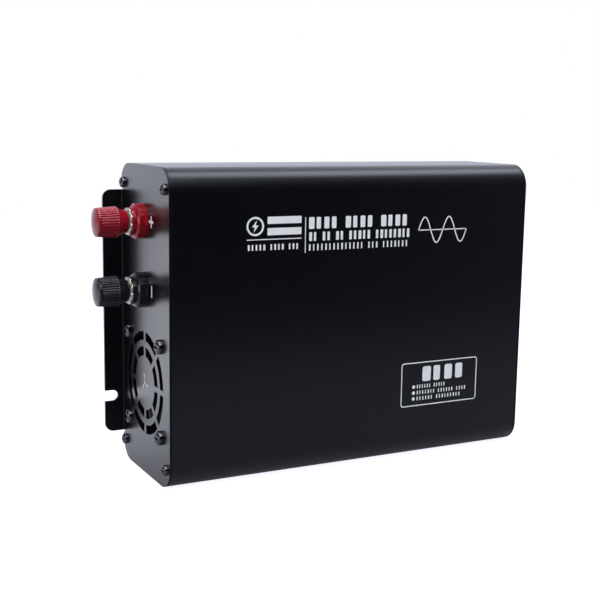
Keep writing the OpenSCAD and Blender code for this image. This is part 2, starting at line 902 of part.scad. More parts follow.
fuse_x = -69;
fuse_zs = [20, 34];
fuse_w = 19;
fuse_t = 4.4;
fuse_foot_y = 21.5;
// a socket with a well a little larger than its fuse
module fuse_holders() {
    rim = 1.5;
    play = 0.2;
    half_w = fuse_w / 2;
    half_t = fuse_t / 2;
    color("#151517") for (z = fuse_zs) translate([fuse_x, 0, z]) difference() {
        block([-half_w - rim, 14, -half_t - rim], [half_w + rim, part_y, half_t + rim]);
        block([-half_w - play, 13, -half_t - play], [half_w + play, fuse_foot_y + 0.5, half_t + play]);
    }
}

module blade_fuses() {
    color("#d8752a") for (z = fuse_zs) translate([fuse_x, 0, z])
        block([-fuse_w / 2, 4, -fuse_t / 2], [fuse_w / 2, fuse_foot_y, fuse_t / 2]);
}

// a row of transistors lying on a rail, legs running to the board; s = 1 on the low rail, -1 on the high
transistor_step = 12;
transistor_t = 4.5;
module transistor_row(first_x, count) {
    body_w = 10;
    body_y0 = -6;
    body_y1 = 9;
    leg_pitch = 2.5;
    leg_side = 0.8;
    leg_t = 0.6;
    leg_z = rail_top + 2;
    for (i = [0:count - 1]) translate([first_x + i * transistor_step, 0, 0]) {
        block([-body_w / 2, body_y0, rail_top + gap], [body_w / 2, body_y1, rail_top + transistor_t]);
        for (x = [-leg_pitch, 0, leg_pitch])
            block([x - leg_side / 2, body_y1, leg_z], [x + leg_side / 2, part_y, leg_z + leg_t]);
    }
}

dc_first_x = -62;
dc_count = 6;
ac_first_x = -8;
ac_count = 4;
module on_high_rail() {
    translate([0, 0, body_h]) mirror([0, 0, 1]) children();
}

module dc_transistors() {
    color("#1c1c1e") transistor_row(dc_first_x, dc_count);
}

module ac_transistors() {
    color("#1c1c1e") on_high_rail() transistor_row(ac_first_x, ac_count);
}

bar_z0 = rail_top + transistor_t + gap;
bar_z1 = bar_z0 + 3;
clamp_y = 1;
clamp_screw_r = 1.5;
// a clamp screw stands past each end of the row
module clamp_row(first_x, count) {
    for (i = [-0.75, count - 0.25]) translate([first_x + i * transistor_step, clamp_y, 0]) children();
}

module clamp_bar(first_x, count) {
    overhang = 14;
    bar_w = 8;
    difference() {
        block([first_x - overhang, clamp_y - bar_w / 2, bar_z0],
              [first_x + (count - 1) * transistor_step + overhang, clamp_y + bar_w / 2, bar_z1]);
        clamp_row(first_x, count) translate([0, 0, bar_z0 - 1]) cylinder(h = 5, r = clamp_screw_r + 0.1);
    }
}

module clamp_bars() {
    color("silver") clamp_bar(dc_first_x, dc_count);
    color("silver") on_high_rail() clamp_bar(ac_first_x, ac_count);
}

module clamp_screw_row(first_x, count) {
    head_r = 2.8;
    head_h = 2.2;
    clamp_row(first_x, count) {
        translate([0, 0, rail_top + gap]) cylinder(h = bar_z1 - rail_top, r = clamp_screw_r);
        translate([0, 0, bar_z1 + gap]) cylinder(h = head_h, r = head_r);
    }
}

module clamp_screws() {
    color("silver") clamp_screw_row(dc_first_x, dc_count);
    color("silver") on_high_rail() clamp_screw_row(ac_first_x, ac_count);
}

module buzzer() {
    buzzer_r = 6;
    buzzer_h = 9.5;
    color("#151517") translate([56, 0, 118]) y_rod(part_y - buzzer_h, part_y, buzzer_r);
}

case_shell();
terminal_end_panel();
output_end_panel();
terminal_panel_screws();
output_panel_screws();
fan_frame();
fan_bush();
fan_stator();
fan_rotor();
fan_shaft();
fan_screws();
fan_nuts();
fan_lead();
red_collar();
red_bush();
red_stud();
red_clamp_washer();
red_knob();
red_nut();
red_lug();
red_cable();
black_collar();
black_bush();
black_stud();
black_clamp_washer();
black_knob();
black_nut();
black_lug();
black_cable();
outlet_body();
outlet_contacts();
outlet_wires();
rocker_housing();
rocker_button();
rocker_tabs();
usb_shell();
usb_tongue();
usb_board();
display_bezel();
display_window();
display_module();
display_ribbon();
earth_screw();
earth_nut();
main_board();
control_board();
transformer_cores();
transformer_windings();
input_capacitors();
bus_capacitor();
inductor_core();
inductor_winding();
film_capacitor();
fuse_holders();
blade_fuses();
dc_transistors();
ac_transistors();
clamp_bars();
clamp_screws();
buzzer();
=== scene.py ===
import json
import math

import bmesh
import bpy
from mathutils import Matrix, Vector

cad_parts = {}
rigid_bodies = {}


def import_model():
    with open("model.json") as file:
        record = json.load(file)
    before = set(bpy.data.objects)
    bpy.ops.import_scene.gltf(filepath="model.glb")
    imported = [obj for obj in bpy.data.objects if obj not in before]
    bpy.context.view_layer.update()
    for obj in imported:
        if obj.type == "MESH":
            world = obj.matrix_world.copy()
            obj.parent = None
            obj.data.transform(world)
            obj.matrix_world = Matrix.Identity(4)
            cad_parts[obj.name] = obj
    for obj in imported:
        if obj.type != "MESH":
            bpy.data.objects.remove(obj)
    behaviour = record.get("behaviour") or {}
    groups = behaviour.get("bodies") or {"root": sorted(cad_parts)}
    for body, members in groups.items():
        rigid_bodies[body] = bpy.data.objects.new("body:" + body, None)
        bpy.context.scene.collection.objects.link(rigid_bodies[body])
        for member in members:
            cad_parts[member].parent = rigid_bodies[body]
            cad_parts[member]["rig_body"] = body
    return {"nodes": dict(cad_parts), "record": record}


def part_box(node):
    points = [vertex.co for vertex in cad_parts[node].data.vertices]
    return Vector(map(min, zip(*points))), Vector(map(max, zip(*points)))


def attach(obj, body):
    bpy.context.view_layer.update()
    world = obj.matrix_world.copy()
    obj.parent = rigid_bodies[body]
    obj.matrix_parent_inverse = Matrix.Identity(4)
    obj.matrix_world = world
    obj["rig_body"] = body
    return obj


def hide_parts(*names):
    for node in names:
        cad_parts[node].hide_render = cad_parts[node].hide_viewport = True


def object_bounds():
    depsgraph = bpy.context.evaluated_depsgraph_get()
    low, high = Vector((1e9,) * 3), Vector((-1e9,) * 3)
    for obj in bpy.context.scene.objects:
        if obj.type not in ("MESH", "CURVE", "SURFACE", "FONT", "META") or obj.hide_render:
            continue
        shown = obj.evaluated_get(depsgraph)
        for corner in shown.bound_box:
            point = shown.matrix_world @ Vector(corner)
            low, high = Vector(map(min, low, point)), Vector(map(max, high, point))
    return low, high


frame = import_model()
cad_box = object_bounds()

MM = 0.001
SLOT_OF = {part["node"]: part["material_slot"] for part in frame["record"]["subparts"]}
CASE_LOW, CASE_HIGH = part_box("case_shell")
SHEET = 1.5 * MM                               # thickness of the end panels
FACE_LEFT = CASE_LOW.x - SHEET                 # outer face of the terminal end panel
FACE_RIGHT = CASE_HIGH.x + SHEET               # outer face of the outlet end panel
FRONT = CASE_LOW.y                             # the printed face


# ---------------------------------------------------------------- camera

def make_camera():
    """A camera at the photograph's angle, a little above the case and to its left."""
    place = Vector((-0.31514, -0.56925, 0.19830))
    yaw, pitch, roll = math.radians(27.468), math.radians(9.277), math.radians(0.866)
    ahead = Vector((math.sin(yaw) * math.cos(pitch), math.cos(yaw) * math.cos(pitch), -math.sin(pitch)))
    level = Vector((math.cos(yaw), -math.sin(yaw), 0))
    upright = level.cross(ahead)
    right = level * math.cos(roll) + upright * math.sin(roll)
    above = upright * math.cos(roll) - level * math.sin(roll)
    data = bpy.data.cameras.new("camera")
    data.lens = 66.33
    data.shift_x = 0.0023
    data.shift_y = -0.0030
    data.clip_start = 0.01
    camera = bpy.data.objects.new("camera", data)
    axes = Matrix((right, above, -ahead)).transposed().to_4x4()
    camera.matrix_world = Matrix.Translation(place) @ axes
    bpy.context.scene.collection.objects.link(camera)
    bpy.context.scene.camera = camera


make_camera()


# ---------------------------------------------------------------- materials

def link(tree, source, target):
    """Joins an output socket to an input socket."""
    tree.links.new(source, target)


def noise(tree, coords, size, detail, stretch=None):
    """A noise texture whose features measure about size, in metres; stretch scales its three axes."""
    node = tree.nodes.new("ShaderNodeTexNoise")
    node.inputs["Scale"].default_value = 1 / size
    node.inputs["Detail"].default_value = detail
    if stretch:
        mapping = tree.nodes.new("ShaderNodeMapping")
        mapping.inputs["Scale"].default_value = stretch
        link(tree, coords, mapping.inputs["Vector"])
        coords = mapping.outputs["Vector"]
    link(tree, coords, node.inputs["Vector"])
    return node.outputs["Fac"]


def ranged(tree, value, source, target, easing="LINEAR"):
    """The value carried over from the source range to the target range, and held at its ends."""
    node = tree.nodes.new("ShaderNodeMapRange")
    node.interpolation_type = easing
    node.inputs["From Min"].default_value, node.inputs["From Max"].default_value = source
    node.inputs["To Min"].default_value, node.inputs["To Max"].default_value = target
    link(tree, value, node.inputs["Value"])
    return node.outputs["Result"]


def spread(tree, value, low, high):
    """A noise value, which stays mostly between 0.3 and 0.7, stretched to run from low to high."""
    return ranged(tree, value, (0.3, 0.7), (low, high))


def mixed(tree, factor, first, second):
    """Two colours mixed by a factor; each is a colour or another node's output."""
    node = tree.nodes.new("ShaderNodeMix")
    node.data_type = "RGBA"
    link(tree, factor, node.inputs["Factor"])
    first_color, second_color, mixed_color = 6, 7, 2       # the node's sockets for colours
    for socket, value in ((node.inputs[first_color], first), (node.inputs[second_color], second)):
        if isinstance(value, bpy.types.NodeSocket):
            link(tree, value, socket)
        else:
            socket.default_value = (*value, 1)
    return node.outputs[mixed_color]


def bumped(tree, height, depth, normal=None):
    """A normal tilted as if the surface rose by up to depth, on top of another normal if one is given."""
    node = tree.nodes.new("ShaderNodeBump")
    node.inputs["Distance"].default_value = depth
    link(tree, height, node.inputs["Height"])
    if normal:
        link(tree, normal, node.inputs["Normal"])
    return node.outputs["Normal"]


def material(name, color, rough, metallic=0.0, tone=0.15, patch=20 * MM, rough_spread=0.04,
             grain=0.3 * MM, grain_depth=0.004 * MM, speck=0.0, coat=0.0, ior=1.5, stretch=None,
             wave=0.0, specular=0.5, transmission=0.0):
    """A finish whose colour and roughness drift over patches, with a fine raised grain.

    tone is how far the colour drifts, speck how strongly the grain itself shows in the colour,
    and wave the depth of a slow unevenness like that of moulded plastic.
    """
    wave_size, coat_rough, smoothest = 4 * MM, 0.08, 0.03
    made = bpy.data.materials.new(name)
    made.use_nodes = True
    tree = made.node_tree
    shader = tree.nodes["Principled BSDF"]
    coords = tree.nodes.new("ShaderNodeTexCoord").outputs["Object"]
    broad = noise(tree, coords, patch, detail=3.0)
    fine = noise(tree, coords, grain, detail=1.0, stretch=stretch)
    dark = [c * (1 - tone) for c in color]
    light = [min(1.0, c * (1 + tone)) for c in color]
    tint = mixed(tree, spread(tree, broad, 0, 1), dark, light)
    if speck:
        speck_color = [min(1.0, 2.2 * c) for c in color]
        tint = mixed(tree, spread(tree, fine, 0, speck), tint, speck_color)
    link(tree, tint, shader.inputs["Base Color"])
    drift = noise(tree, coords, patch * 0.45, detail=4.0)
    uneven = spread(tree, drift, max(smoothest, rough - rough_spread), rough + rough_spread)
    link(tree, uneven, shader.inputs["Roughness"])
    normal = bumped(tree, fine, grain_depth)
    if wave:
        normal = bumped(tree, noise(tree, coords, wave_size, detail=1.0), wave, normal=normal)
    link(tree, normal, shader.inputs["Normal"])
    shader.inputs["Metallic"].default_value = metallic
    shader.inputs["IOR"].default_value = ior
    shader.inputs["Specular IOR Level"].default_value = specular
    shader.inputs["Coat Weight"].default_value = coat
    shader.inputs["Coat Roughness"].default_value = coat_rough
    shader.inputs["Transmission Weight"].default_value = transmission
    return made


LOOKS = {
    "case_coat": material("satin_black_coat", (0.0010, 0.0012, 0.0022), 0.31, grain=0.22 * MM,
                          grain_depth=0.006 * MM, speck=0.4, rough_spread=0.012, ior=1.41),
    "panel_coat": material("satin_panel_coat", (0.0012, 0.0013, 0.0022), 0.25, grain=0.22 * MM,
                           grain_depth=0.006 * MM, speck=0.4, rough_spread=0.012, ior=1.9),
    "black_screws": material("blackened_steel", (0.10, 0.10, 0.11), 0.24, metallic=1.0, grain=0.3 * MM),
    "red_plastic": material("red_moulded", (0.25, 0.004, 0.011), 0.17, tone=0.05, rough_spread=0.02,
                            grain_depth=0.001 * MM, ior=1.40),
    "black_plastic": material("black_moulded", (0.008, 0.008, 0.011), 0.17, rough_spread=0.02,
                              grain_depth=0.001 * MM, ior=1.40),
    "outlet_plastic": material("outlet_moulded", (0.010, 0.010, 0.011), 0.36, grain=0.35 * MM,
                               grain_depth=0.01 * MM),
    "fan_plastic": material("fan_moulded", (0.010, 0.010, 0.011), 0.42, grain=0.4 * MM),
    "rocker_red": material("rocker_moulded", (0.36, 0.006, 0.010), 0.22, wave=0.010 * MM, coat=0.3),
    "nickel": material("nickel_plate", (0.52, 0.47, 0.40), 0.36, metallic=1.0, rough_spread=0.06,
                       patch=5 * MM, grain_depth=0.002 * MM),
    "brass": material("brass", (0.66, 0.48, 0.20), 0.26, metallic=1.0, rough_spread=0.08, patch=5 * MM),
    "copper": material("enamelled_copper", (0.55, 0.22, 0.07), 0.25, metallic=0.9, patch=6 * MM, coat=0.3),
    "ferrite": material("ferrite", (0.035, 0.035, 0.038), 0.55, patch=8 * MM, speck=0.3,
                        grain_depth=0.02 * MM),
    "red_jacket": material("red_jacket", (0.30, 0.010, 0.012), 0.42, wave=0.02 * MM),
    "black_jacket": material("black_jacket", (0.012, 0.012, 0.013), 0.42, wave=0.02 * MM),
    "brown_jacket": material("brown_jacket", (0.10, 0.040, 0.018), 0.42, wave=0.02 * MM),
    "ribbon_grey": material("ribbon", (0.35, 0.36, 0.38), 0.45, stretch=(0.02, 0.02, 1.0), grain=1.0 * MM,
                            grain_depth=0.1 * MM),
    "board_green": material("solder_mask", (0.008, 0.075, 0.022), 0.28, coat=0.5, patch=9 * MM, speck=0.35,
                            grain=1.2 * MM, grain_depth=0.01 * MM),
    "sleeve_blue": material("shrink_sleeve", (0.012, 0.030, 0.14), 0.26, wave=0.02 * MM),
    "film_yellow": material("dipped_film", (0.42, 0.22, 0.02), 0.30, wave=0.05 * MM),
    "fuse_orange": material("fuse_body", (0.60, 0.15, 0.01), 0.20, wave=0.015 * MM),
    "package_black": material("epoxy_package", (0.016, 0.016, 0.018), 0.55, grain=0.3 * MM, speck=0.2,
                              grain_depth=0.01 * MM),
    "bar_aluminium": material("bar_aluminium", (0.72, 0.72, 0.73), 0.34, metallic=1.0,
                              stretch=(0.03, 1.0, 1.0), grain=0.2 * MM, grain_depth=0.004 * MM),
    "white_plastic": material("white_moulded", (0.72, 0.72, 0.70), 0.35, tone=0.04, wave=0.01 * MM),
    "display_glass": material("display_glass", (0.80, 0.84, 0.86), 0.06, tone=0.03, transmission=0.95,
                              grain_depth=0.0005 * MM),
}
LCD_BACK = material("lcd_back", (0.30, 0.36, 0.31), 0.35, tone=0.04, grain_depth=0.0005 * MM)
LCD_SEGMENT = material("lcd_segment", (0.16, 0.20, 0.17), 0.35, tone=0.04, grain_depth=0.0005 * MM)
EDGE_COAT = material("dull_edge_coat", (0.0010, 0.0011, 0.0022), 0.42, grain=0.22 * MM,
                     grain_depth=0.008 * MM, specular=0.22)
PRINT = material("white_print", (0.93, 0.92, 0.89), 0.45, tone=0.05, patch=6 * MM, speck=0.1,
                 grain=0.15 * MM, grain_depth=0.006 * MM)

for node_name, node_object in frame["nodes"].items():
    node_object.data.materials.clear()
    node_object.data.materials.append(LOOKS[SLOT_OF[node_name]])


# ---------------------------------------------------------------- mesh helpers

def shade(bm, degrees):
    """Smooth shading, with an edge kept sharp where it turns by more than the angle."""
    limit = math.radians(degrees)
    for face in bm.faces:
        face.smooth = True
    for edge in bm.edges:
        edge.smooth = len(edge.link_faces) == 2 and edge.calc_face_angle(math.pi) < limit


def piece(name, bm, body, slot, replaces=(), look=None, sharp=35, bevel=0.0):
    """Makes a piece from a bmesh: shaded, bevelled, in its material and riding on its body."""
    bmesh.ops.recalc_face_normals(bm, faces=bm.faces)
    shade(bm, sharp)
    mesh = bpy.data.meshes.new(name)
    bm.to_mesh(mesh)
    bm.free()
    made = bpy.data.objects.new(name, mesh)
    bpy.context.scene.collection.objects.link(made)
    made.data.materials.append(look or LOOKS[slot])
    if bevel:
        rounding = made.modifiers.new("edges", "BEVEL")
        rounding.width = bevel
        rounding.segments = 2
        rounding.limit_method = "ANGLE"
        rounding.angle_limit = math.radians(sharp)
        rounding.use_clamp_overlap = True
        rounding.harden_normals = True
    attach(made, body)
    if replaces:
        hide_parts(*replaces)
    return made


def body_of(node):
    """The name of the body that a CAD node rides on."""
    return frame["nodes"][node]["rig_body"]


def merged(node):
    """A bmesh of a CAD node, with its doubled vertices joined."""
    bm = bmesh.new()
    bm.from_mesh(frame["nodes"][node].data)
    bmesh.ops.remove_doubles(bm, verts=bm.verts, dist=0.0005 * MM)
    return bm


def refined(node, bevel):
    """A copy of a CAD node with its flat facets merged and its edges rounded."""
    bm = merged(node)
    bmesh.ops.dissolve_limit(bm, angle_limit=math.radians(0.4), verts=bm.verts, edges=bm.edges,
                             use_dissolve_boundaries=False, delimit=set())
    return piece(node + "_fine", bm, body_of(node), SLOT_OF[node], [node], bevel=bevel)


def coat_edges(panel):
    """The folded flange and the cut edges of an end panel are coated duller than its face."""
    panel.data.materials.append(EDGE_COAT)
    for face in panel.data.polygons:
        face.material_index = 0 if abs(face.normal.x) > 0.9 else 1


def smoothstep(low, high, value):
    """Eases from 0 to 1 as the value goes from low to high."""
    t = min(1.0, max(0.0, (value - low) / (high - low)))
    return t * t * (3 - 2 * t)


def corner_curve(before, here, after, radius, steps):
    """Points round a corner: a curve that leaves its sides at about the radius from the corner."""
    back, on = before - here, after - here
    cut = min(radius, 0.45 * back.length, 0.45 * on.length)
    start, end = here + back.normalized() * cut, here + on.normalized() * cut
    made = []
    for i in range(steps + 1):
        t = i / steps
        made.append(start * (1 - t) ** 2 + here * 2 * t * (1 - t) + end * t ** 2)
    return made


def rounded(points, radii, steps=4):
    """An open outline with its inner corners rounded, by one radius for each point."""
    corners = [Vector(p) for p in points]
    made = [corners[0]]
    for before, here, after, radius in zip(corners, corners[1:], corners[2:], radii[1:]):
        made += corner_curve(before, here, after, radius, steps)
    return made + [corners[-1]]


def round_corners(points, radius, steps=4):
    """A closed outline with its corners rounded."""
    corners = [Vector(p) for p in points]
    made = []
    for before, here, after in zip(corners[-1:] + corners, corners, corners[1:] + corners[:1]):
        made += corner_curve(before, here, after, radius, steps)
    return made


def circle(x, z, r, corners=24):
    """The points of a circle."""
    angles = [2 * math.pi * i / corners for i in range(corners)]
    return [(x + r * math.cos(angle), z + r * math.sin(angle)) for angle in angles]


def band(bm, first, second):
    """Faces that join two closed rings of as many vertices."""
    for i in range(len(first)):
        j = (i + 1) % len(first)
        bm.faces.new([first[i], first[j], second[j], second[i]])


def prism(bm, foot, top):
    """A closed prism between two matching rings of vertices."""
    bm.faces.new(foot[::-1])
    bm.faces.new(top)
    band(bm, foot, top)


# ---------------------------------------------------------------- turned and threaded pieces

def lathe(stations, centre, turns=96, radius=None, closed=False):
    """A surface turned about X from (distance out, radius) stations, in metres.

    Open ends lie on the axis, and a closed surface runs from its last station back to its first.
    radius(out, r, angle) can vary the radius round the axis.
    """
    bm = bmesh.new()
    rings = []
    for out, r in stations:
        if r < 1e-7:
            rings.append([bm.verts.new((centre[0] - out, centre[1], centre[2]))])
            continue
        ring = []
        for i in range(turns):
            angle = 2 * math.pi * i / turns
            here = radius(out, r, angle) if radius else r
            ring.append(bm.verts.new((centre[0] - out, centre[1] + here * math.sin(angle),
                                      centre[2] + here * math.cos(angle))))
        rings.append(ring)
    for low, high in zip(rings, rings[1:] + (rings[:1] if closed else [])):
        for i in range(turns):
            j = (i + 1) % turns
            corners = [low[i % len(low)], low[j % len(low)], high[j % len(high)], high[i % len(high)]]
            corners = [v for k, v in enumerate(corners) if v not in corners[:k]]
            if len(corners) > 2:
                bm.faces.new(corners)
    return bm


def terminal_axis(colour):
    """Where a terminal's axis meets the outer face of the end panel."""
    low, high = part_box(colour + "_stud")
    return Vector((FACE_LEFT, (low.y + high.y) / 2, (low.z + high.z) / 2))


def make_knob(colour):
    """A moulded thumb nut: a smooth neck that widens to a fluted barrel with a smooth domed end."""
    node = colour + "_knob"
    axis = terminal_axis(colour)
    low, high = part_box(node)
    r = (high.z - low.z) / 2
    start, end = FACE_LEFT - high.x, FACE_LEFT - low.x
    barrel, lip = start + 5.55 * MM, end - 2.2 * MM        # where the barrel starts and ends
    flutes, flute_depth = 34, 0.30 * MM
    bore, neck, shoulder, taper = 3.1 * MM, 6.2 * MM, r - 1.75 * MM, 0.62 * MM
    barrel_steps, dome_steps, dome_rise, brim = 26, 10, 1.25 * MM, r - 0.72 * MM
    hole = [Vector((lip, 0)), Vector((lip, bore))]
    outline = rounded([(start, bore), (start, neck), (start + 2.75 * MM, shoulder), (barrel, r)],
                      [0, 0.35 * MM, 0.8 * MM, 0])
    for i in range(1, barrel_steps):
        t = i / barrel_steps
        outline.append(Vector((barrel + (lip - barrel) * t, r - taper * t)))
    dome = []
    for i in range(dome_steps):
        t = i / dome_steps
        dome.append(Vector((end - dome_rise * t ** 2, brim * t)))
    edge = [(lip, r - taper), (end - dome_rise, brim), dome[-2]]
    outline += rounded(edge, [0, 0.5 * MM, 0], 6) + dome[-3::-1]

    def fluted(out, here, angle):
        reach = smoothstep(barrel - 0.1 * MM, barrel + 0.4 * MM, out)
        reach *= 1 - smoothstep(lip - 0.4 * MM, lip + 0.4 * MM, out)
        groove = abs(math.sin(angle * flutes / 2))
        return here - flute_depth * reach * (1 - groove)

    bm = lathe(hole + outline, axis, flutes * 12, fluted)
    piece(node + "_fluted", bm, colour + "_grip", SLOT_OF[node], [node], sharp=50)


def make_collar(colour):
    """The insulating collar: a plain drum with a bevelled rim, and a small disc that the washer meets."""
    node = colour + "_collar"
    axis = terminal_axis(colour)
    low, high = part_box(node)
    r = (high.z - low.z) / 2
    end, inner = FACE_LEFT - low.x, FACE_LEFT - high.x
    bore, spigot, disc_r, bevel_r = 3.05 * MM, r - 3.85 * MM, r - 2.2 * MM, r - 1.25 * MM
    drum = end - 3.2 * MM                                  # where the drum's full radius ends
    step = drum + 1.2 * MM                                 # where the bevel meets the disc
    outline = rounded([(inner, bore), (inner, spigot), (0, spigot), (0, r), (drum, r), (drum + 0.15 * MM, r),
                       (step, bevel_r), (step, disc_r), (end, disc_r), (end, bore)],
                      [0, 0.2 * MM, 0, 0.15 * MM, 0, 0.25 * MM, 0.2 * MM, 0, 0.3 * MM, 0])
    bm = lathe(outline, axis, 128, closed=True)
    piece(node + "_turned", bm, body_of(node), SLOT_OF[node], [node], sharp=40)


def make_washer(colour):
    """A stamped washer with eight rounded lobes, bevelled towards its rim."""
    node = colour + "_clamp_washer"
    axis = terminal_axis(colour)
    low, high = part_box(node)
    r = (high.z - low.z) / 2
    inner, outer = FACE_LEFT - high.x, FACE_LEFT - low.x
    bore, lobes, notch_depth, rim, bevel = 3.08 * MM, 8, 1.0 * MM, 0.75 * MM, 1.5 * MM

    def scalloped(out, here, angle):
        notch = (0.5 + 0.5 * math.cos(angle * lobes)) ** 1.8
        return here - notch_depth * notch * smoothstep(bore + 0.5 * MM, r, here)

    outline = rounded([(inner, bore), (inner, r), (inner + rim, r), (outer, r - bevel), (outer, bore)],
                      [0, 0.18 * MM, 0.3 * MM, 0.35 * MM, 0], 3)
    bm = lathe(outline, axis, 240, scalloped, closed=True)
    piece(node + "_scalloped", bm, body_of(node), SLOT_OF[node], [node], sharp=40)


def make_thread(colour):
    """The brass stud with its thread cut as a true helix."""
    node = colour + "_stud"
    axis = terminal_axis(colour)
    low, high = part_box(node)
    r, pitch, depth, end_bevel = (high.z - low.z) / 2, 1.0 * MM, 0.5 * MM, 0.35 * MM
    start, end = FACE_LEFT - high.x, FACE_LEFT - low.x
    steps = int((end - start) / pitch * 8)

    def threaded(out, here, angle):
        phase = (out / pitch + angle / (2 * math.pi)) % 1.0
        ease = smoothstep(start, start + pitch, out) * (1 - smoothstep(end - pitch, end, out))
        return here - depth * (1 - abs(2 * phase - 1)) * ease - end_bevel * (1 - ease)

    side = [(start + (end - start) * i / steps, r) for i in range(steps + 1)]
    bm = lathe([(start, 0)] + side + [(end, 0)], axis, 24, threaded)
    piece(node + "_threaded", bm, body_of(node), SLOT_OF[node], [node], sharp=60)


def skin(bm, lower, upper):
    """Closes two matching grids of vertices into one thin solid."""
    rows, columns = len(lower), len(lower[0])
    for j in range(rows - 1):
        for k in range(columns - 1):
            for grid in (lower, upper):
                bm.faces.new([grid[j][k], grid[j][k + 1], grid[j + 1][k + 1], grid[j + 1][k]])
    rim = [(0, k) for k in range(columns)] + [(j, columns - 1) for j in range(1, rows)]
    rim += [(rows - 1, k) for k in range(columns - 2, -1, -1)] + [(j, 0) for j in range(rows - 2, 0, -1)]
    for (j, k), (m, n) in zip(rim, rim[1:] + rim[:1]):
        bm.faces.new([lower[j][k], lower[m][n], upper[m][n], upper[j][k]])


def make_rotor():
    """The fan rotor: a cup with seven swept, cambered blades whose pitch eases towards their tips."""
    low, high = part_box("fan_rotor")
    centre = (low + high) / 2
    tip, root = (high.z - low.z) / 2, 12.4 * MM
    start, end = low.x, high.x
    hollow, floor, shaft_hole = root - 1.6 * MM, start + 2.5 * MM, 1.5 * MM
    cup = rounded([(start, 0), (start, root), (end, root), (end, hollow), (floor, hollow),
                   (floor, shaft_hole), (start + 1 * MM, shaft_hole), (start + 1 * MM, 0)],
                  [0, 1.8 * MM, 0.3 * MM, 0.3 * MM, 0.8 * MM, 0, 0, 0])
    bm = lathe([(-out, r) for out, r in cup], (0, centre.y, centre.z))
    blades, spans, chords, thickness, most_camber = 7, 8, 10, 1.1 * MM, 1.6 * MM
    half_depth = (end - start) / 2 - 0.9 * MM
    sunk, clearance = 0.6 * MM, 0.1 * MM                   # into the cup, and short of the CAD blades
    for i in range(blades):
        sheets = []
        for side in (-0.5, 0.5):
            rows = []
            for j in range(spans + 1):
                t = j / spans
                r = root - sunk + (tip - clearance - root + sunk) * t
                pitch = math.radians(50 - 12 * t)
                row = []
                for k in range(chords + 1):
                    c = 2 * k / chords - 1
                    along = half_depth * c * (1 - 0.12 * t)
                    camber = most_camber * (1 - c * c)
                    around = along / math.tan(pitch) + camber + side * thickness * (1 - 0.7 * abs(c) ** 3)
                    angle = 2 * math.pi * i / blades + around / r + 0.35 * t * t
                    row.append(bm.verts.new((centre.x + along, centre.y + r * math.sin(angle),
                                             centre.z + r * math.cos(angle))))
                rows.append(row)
            sheets.append(rows)
        skin(bm, *sheets)
    piece("fan_rotor_moulded", bm, "fan_wheel", SLOT_OF["fan_rotor"], ["fan_rotor"], sharp=45)


# ---------------------------------------------------------------- electronics

def solids(node):
    """The lowest and highest corner of each separate solid of a CAD node."""
    bm = merged(node)
    left, boxes = set(bm.verts), []
    while left:
        waiting, found = [left.pop()], []
        while waiting:
            vert = waiting.pop()
            found.append(vert.co.copy())
            near = {edge.other_vert(vert) for edge in vert.link_edges} & left
            left -= near
            waiting.extend(near)
        boxes.append(tuple(Vector(pick(co[i] for co in found) for i in range(3)) for pick in (min, max)))
    bm.free()
    return boxes


def turn(bm, points, axis, r, sides=8):
    """One closed turn of wire through points that lie in the plane square to axis."""
    rings = []
    for i, here in enumerate(points):
        ahead = (points[(i + 1) % len(points)] - points[i - 1]).normalized()
        side = axis.cross(ahead)
        angles = [2 * math.pi * k / sides for k in range(sides)]
        rings.append([bm.verts.new(here + r * (side * math.cos(a) + axis * math.sin(a))) for a in angles])
    for first, second in zip(rings, rings[1:] + rings[:1]):
        band(bm, first, second)


def make_inductor():
    """The toroid's winding, as separate turns with a gap where the wire starts and ends."""
    low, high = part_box("inductor_winding")
    centre = (low + high) / 2
    wire, hole, turns, spread_angle = 0.8 * MM, 7 * MM, 29, math.radians(345)
    near, far, half = hole + wire, (high.x - low.x) / 2 - wire, (high.y - low.y) / 2 - wire
    outline = round_corners([(near, -half), (far, -half), (far, half), (near, half)], 3 * MM)
    bm = bmesh.new()
    for i in range(turns):
        angle = spread_angle * i / (turns - 1) - math.pi / 2
        radial = Vector((math.cos(angle), 0, math.sin(angle)))
        points = [centre + radial * r + Vector((0, y, 0)) for r, y in outline]
        turn(bm, points, radial.cross(Vector((0, 1, 0))), wire)
    piece("inductor_winding_turns", bm, "root", "copper", ["inductor_winding"])


def make_transformer_windings():
    """Layers of wire between the end plates of a bobbin, round the middle leg of each core."""
    windings, bobbins = bmesh.new(), bmesh.new()
    wire, plate = 1.0 * MM, 1.2 * MM
    for low, high in solids("transformer_windings"):
        inset = wire + 0.3 * MM
        outline = round_corners([(low.x + inset, low.y + inset), (high.x - inset, low.y + inset),
                                 (high.x - inset, high.y - inset), (low.x + inset, high.y - inset)], 5 * MM)
        first, last = low.z + plate + wire, high.z - plate - wire
        layers = int((last - first) / (2 * wire)) + 1
        for i in range(layers):
            z = first + (last - first) * i / (layers - 1)
            turn(windings, [Vector((x, y, z)) for x, y in outline], Vector((0, 0, 1)), wire)
        rim = round_corners([(low.x, low.y), (high.x, low.y), (high.x, high.y), (low.x, high.y)], 3 * MM)
        for z0, z1 in ((low.z, low.z + plate), (high.z - plate, high.z)):
            foot, top = ([bobbins.verts.new((x, y, z)) for x, y in rim] for z in (z0, z1))
            prism(bobbins, foot, top)
    piece("transformer_winding_turns", windings, "root", "copper", ["transformer_windings"])
    piece("transformer_bobbins", bobbins, "root", "package_black", bevel=0.2 * MM)


